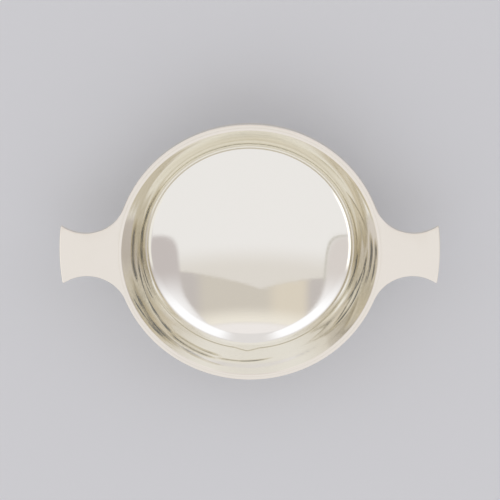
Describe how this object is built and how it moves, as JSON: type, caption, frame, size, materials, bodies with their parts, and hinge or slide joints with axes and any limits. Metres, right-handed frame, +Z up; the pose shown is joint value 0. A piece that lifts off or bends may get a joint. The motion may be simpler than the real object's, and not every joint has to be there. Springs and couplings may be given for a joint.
{
  "type": "quaich",
  "caption": "Shallow round drinking bowl of plain polished silver with a rounded well, a flush rim wire, a flat waisted lug on each side and a low flared foot.",
  "frame": {"origin": "centre of the foot's circle, on the surface that the bowl stands on", "axes": "+Z up along the bowl's axis, X through the two lugs"},
  "size_m": [0.1798, 0.127, 0.0358],
  "materials": {
    "bowl_silver": "polished sterling silver, raised and planished, with fine hairline scratches",
    "rim_silver": "polished sterling silver wire",
    "lug_silver": "polished sterling silver plate with softened edges",
    "foot_silver": "polished sterling silver, slightly tarnished inside",
    "hard_solder": "silver solder, a little yellower and duller than the sheet"
  },
  "bodies": {
    "root": {"bowl": "bowl_silver", "rim_wire": "rim_silver", "rim_solder": "hard_solder", "left_lug": "lug_silver", "right_lug": "lug_silver", "left_lug_solder": "hard_solder", "right_lug_solder": "hard_solder", "foot_collet": "foot_silver", "foot_solder": "hard_solder", "foot_wire": "foot_silver", "foot_wire_solder": "hard_solder"}
  },
  "joints": []
}
